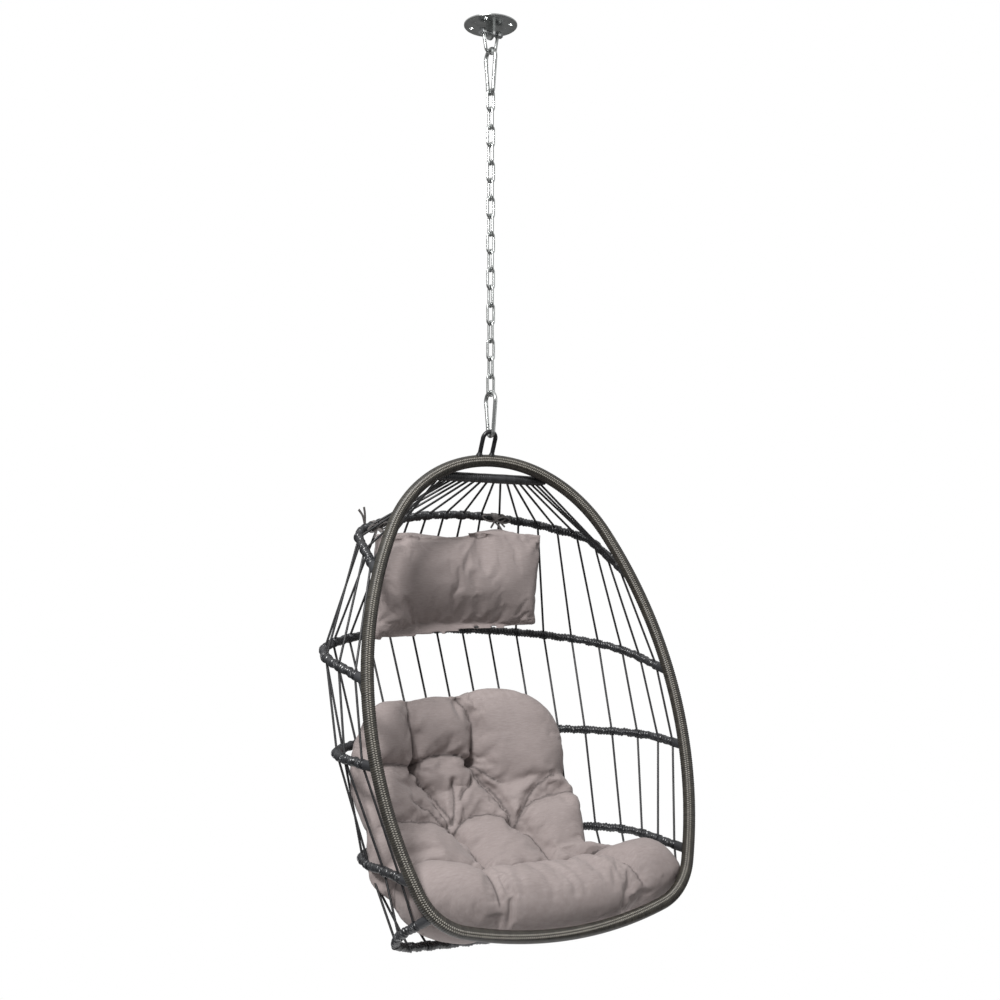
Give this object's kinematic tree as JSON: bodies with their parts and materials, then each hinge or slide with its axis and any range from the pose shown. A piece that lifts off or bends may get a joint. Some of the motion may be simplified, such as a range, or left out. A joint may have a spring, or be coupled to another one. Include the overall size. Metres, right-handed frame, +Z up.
{
  "type": "hanging egg chair",
  "caption": "Wicker-wound egg-shaped hanging chair with roped back, tufted seat cushion and head pillow, hung on a chain with spring hooks from a round ceiling plate.",
  "frame": {"origin": "centre of the ceiling plate's top face, on the hanging line", "axes": "+Z up along the hanging line, -Y out of the front of the chair, +X across it"},
  "size_m": [0.8438, 0.5968, 2.0358],
  "materials": {
    "zinc": "bright zinc plating",
    "black_steel": "satin black powder coat",
    "black_aluminium": "black powder coat, under the wicker",
    "black_plastic": "plain black moulded sockets",
    "black_rope": "black resin rope, closely wound",
    "rim_wicker": "grey-brown resin wicker, closely wound",
    "rib_wicker": "charcoal flat resin wicker, wound",
    "rope": "charcoal resin rope",
    "cloth": "taupe-grey plain woven cloth"
  },
  "bodies": {
    "ceiling_fitting": {"ceiling_plate": "zinc", "plate_lug": "zinc", "swing_bolt": "zinc", "swing_nut": "zinc"},
    "shackle": {"shackle": "zinc"},
    "upper_hook": {"hook_upper": "zinc", "gate_rivet_upper": "zinc"},
    "upper_gate": {"gate_upper": "zinc"},
    "chain_link_01": {"chain_link_01": "zinc"},
    "chain_link_02": {"chain_link_02": "zinc"},
    "chain_link_03": {"chain_link_03": "zinc"},
    "chain_link_04": {"chain_link_04": "zinc"},
    "chain_link_05": {"chain_link_05": "zinc"},
    "chain_link_06": {"chain_link_06": "zinc"},
    "chain_link_07": {"chain_link_07": "zinc"},
    "chain_link_08": {"chain_link_08": "zinc"},
    "chain_link_09": {"chain_link_09": "zinc"},
    "chain_link_10": {"chain_link_10": "zinc"},
    "chain_link_11": {"chain_link_11": "zinc"},
    "chain_link_12": {"chain_link_12": "zinc"},
    "chain_link_13": {"chain_link_13": "zinc"},
    "chain_link_14": {"chain_link_14": "zinc"},
    "chain_link_15": {"chain_link_15": "zinc"},
    "chain_link_16": {"chain_link_16": "zinc"},
    "chain_link_17": {"chain_link_17": "zinc"},
    "lower_hook": {"hook_lower": "zinc", "gate_rivet_lower": "zinc"},
    "lower_gate": {"gate_lower": "zinc"},
    "chair": {"hanging_loop": "black_steel", "rim_tube": "black_aluminium", "rim_wicker": "rim_wicker", "crown_bar": "black_steel", "crown_wrap": "black_rope", "rib_1": "black_steel", "rib_2": "black_steel", "rib_3": "black_steel", "rib_4": "black_steel", "rib_5": "black_steel", "rib_wicker_1": "rib_wicker", "rib_wicker_2": "rib_wicker", "rib_wicker_3": "rib_wicker", "rib_wicker_4": "rib_wicker", "rib_wicker_5": "rib_wicker", "rib_sockets": "black_plastic", "ropes_crown": "rope", "ropes_upper": "rope", "ropes_middle": "rope", "ropes_lower": "rope", "ropes_seat": "rope", "seat_cushion": "cloth", "head_pillow": "cloth", "pillow_ties": "cloth"}
  },
  "joints": [
    {"name": "shackle_swing", "type": "hinge", "parent": "ceiling_fitting", "child": "shackle", "pos_m": [0, 0, -0.019], "axis": [1, 0, 0], "range_deg": [-20, 20]},
    {"name": "upper_hook_swing", "type": "hinge", "parent": "shackle", "child": "upper_hook", "pos_m": [0, 0, -0.064], "axis": [1, 0, 0], "range_deg": [-8, 8]},
    {"name": "upper_gate_pivot", "type": "hinge", "parent": "upper_hook", "child": "upper_gate", "pos_m": [0, 0.01276, -0.13128], "axis": [1, 0, 0], "range_deg": [0, 22], "stiffness_Nm_per_rad": 0.05, "springref_deg": -11.46},
    {"name": "link_01_swing", "type": "hinge", "parent": "upper_hook", "child": "chain_link_01", "pos_m": [0, 0, -0.1547], "axis": [0, 1, 0], "range_deg": [-5, 5]},
    {"name": "link_02_swing", "type": "hinge", "parent": "chain_link_01", "child": "chain_link_02", "pos_m": [0, 0, -0.1932], "axis": [1, 0, 0], "range_deg": [-5, 5]},
    {"name": "link_03_swing", "type": "hinge", "parent": "chain_link_02", "child": "chain_link_03", "pos_m": [0, 0, -0.2332], "axis": [0, 1, 0], "range_deg": [-5, 5]},
    {"name": "link_04_swing", "type": "hinge", "parent": "chain_link_03", "child": "chain_link_04", "pos_m": [0, 0, -0.2732], "axis": [1, 0, 0], "range_deg": [-5, 5]},
    {"name": "link_05_swing", "type": "hinge", "parent": "chain_link_04", "child": "chain_link_05", "pos_m": [0, 0, -0.3132], "axis": [0, 1, 0], "range_deg": [-5, 5]},
    {"name": "link_06_swing", "type": "hinge", "parent": "chain_link_05", "child": "chain_link_06", "pos_m": [0, 0, -0.3532], "axis": [1, 0, 0], "range_deg": [-5, 5]},
    {"name": "link_07_swing", "type": "hinge", "parent": "chain_link_06", "child": "chain_link_07", "pos_m": [0, 0, -0.3932], "axis": [0, 1, 0], "range_deg": [-5, 5]},
    {"name": "link_08_swing", "type": "hinge", "parent": "chain_link_07", "child": "chain_link_08", "pos_m": [0, 0, -0.4332], "axis": [1, 0, 0], "range_deg": [-5, 5]},
    {"name": "link_09_swing", "type": "hinge", "parent": "chain_link_08", "child": "chain_link_09", "pos_m": [0, 0, -0.4732], "axis": [0, 1, 0], "range_deg": [-5, 5]},
    {"name": "link_10_swing", "type": "hinge", "parent": "chain_link_09", "child": "chain_link_10", "pos_m": [0, 0, -0.5132], "axis": [1, 0, 0], "range_deg": [-5, 5]},
    {"name": "link_11_swing", "type": "hinge", "parent": "chain_link_10", "child": "chain_link_11", "pos_m": [0, 0, -0.5532], "axis": [0, 1, 0], "range_deg": [-5, 5]},
    {"name": "link_12_swing", "type": "hinge", "parent": "chain_link_11", "child": "chain_link_12", "pos_m": [0, 0, -0.5932], "axis": [1, 0, 0], "range_deg": [-5, 5]},
    {"name": "link_13_swing", "type": "hinge", "parent": "chain_link_12", "child": "chain_link_13", "pos_m": [0, 0, -0.6332], "axis": [0, 1, 0], "range_deg": [-5, 5]},
    {"name": "link_14_swing", "type": "hinge", "parent": "chain_link_13", "child": "chain_link_14", "pos_m": [0, 0, -0.6732], "axis": [1, 0, 0], "range_deg": [-5, 5]},
    {"name": "link_15_swing", "type": "hinge", "parent": "chain_link_14", "child": "chain_link_15", "pos_m": [0, 0, -0.7132], "axis": [0, 1, 0], "range_deg": [-5, 5]},
    {"name": "link_16_swing", "type": "hinge", "parent": "chain_link_15", "child": "chain_link_16", "pos_m": [0, 0, -0.7532], "axis": [1, 0, 0], "range_deg": [-5, 5]},
    {"name": "link_17_swing", "type": "hinge", "parent": "chain_link_16", "child": "chain_link_17", "pos_m": [0, 0, -0.7932], "axis": [0, 1, 0], "range_deg": [-5, 5]},
    {"name": "lower_hook_swing", "type": "hinge", "parent": "chain_link_17", "child": "lower_hook", "pos_m": [0, 0, -0.8332], "axis": [1, 0, 0], "range_deg": [-8, 8]},
    {"name": "lower_gate_pivot", "type": "hinge", "parent": "lower_hook", "child": "lower_gate", "pos_m": [0, 0.01276, -0.90098], "axis": [1, 0, 0], "range_deg": [0, 22], "stiffness_Nm_per_rad": 0.05, "springref_deg": -11.46},
    {"name": "chair_swing", "type": "hinge", "parent": "lower_hook", "child": "chair", "pos_m": [0, 0, -0.9244], "axis": [0, 1, 0], "range_deg": [-8, 8]}
  ]
}
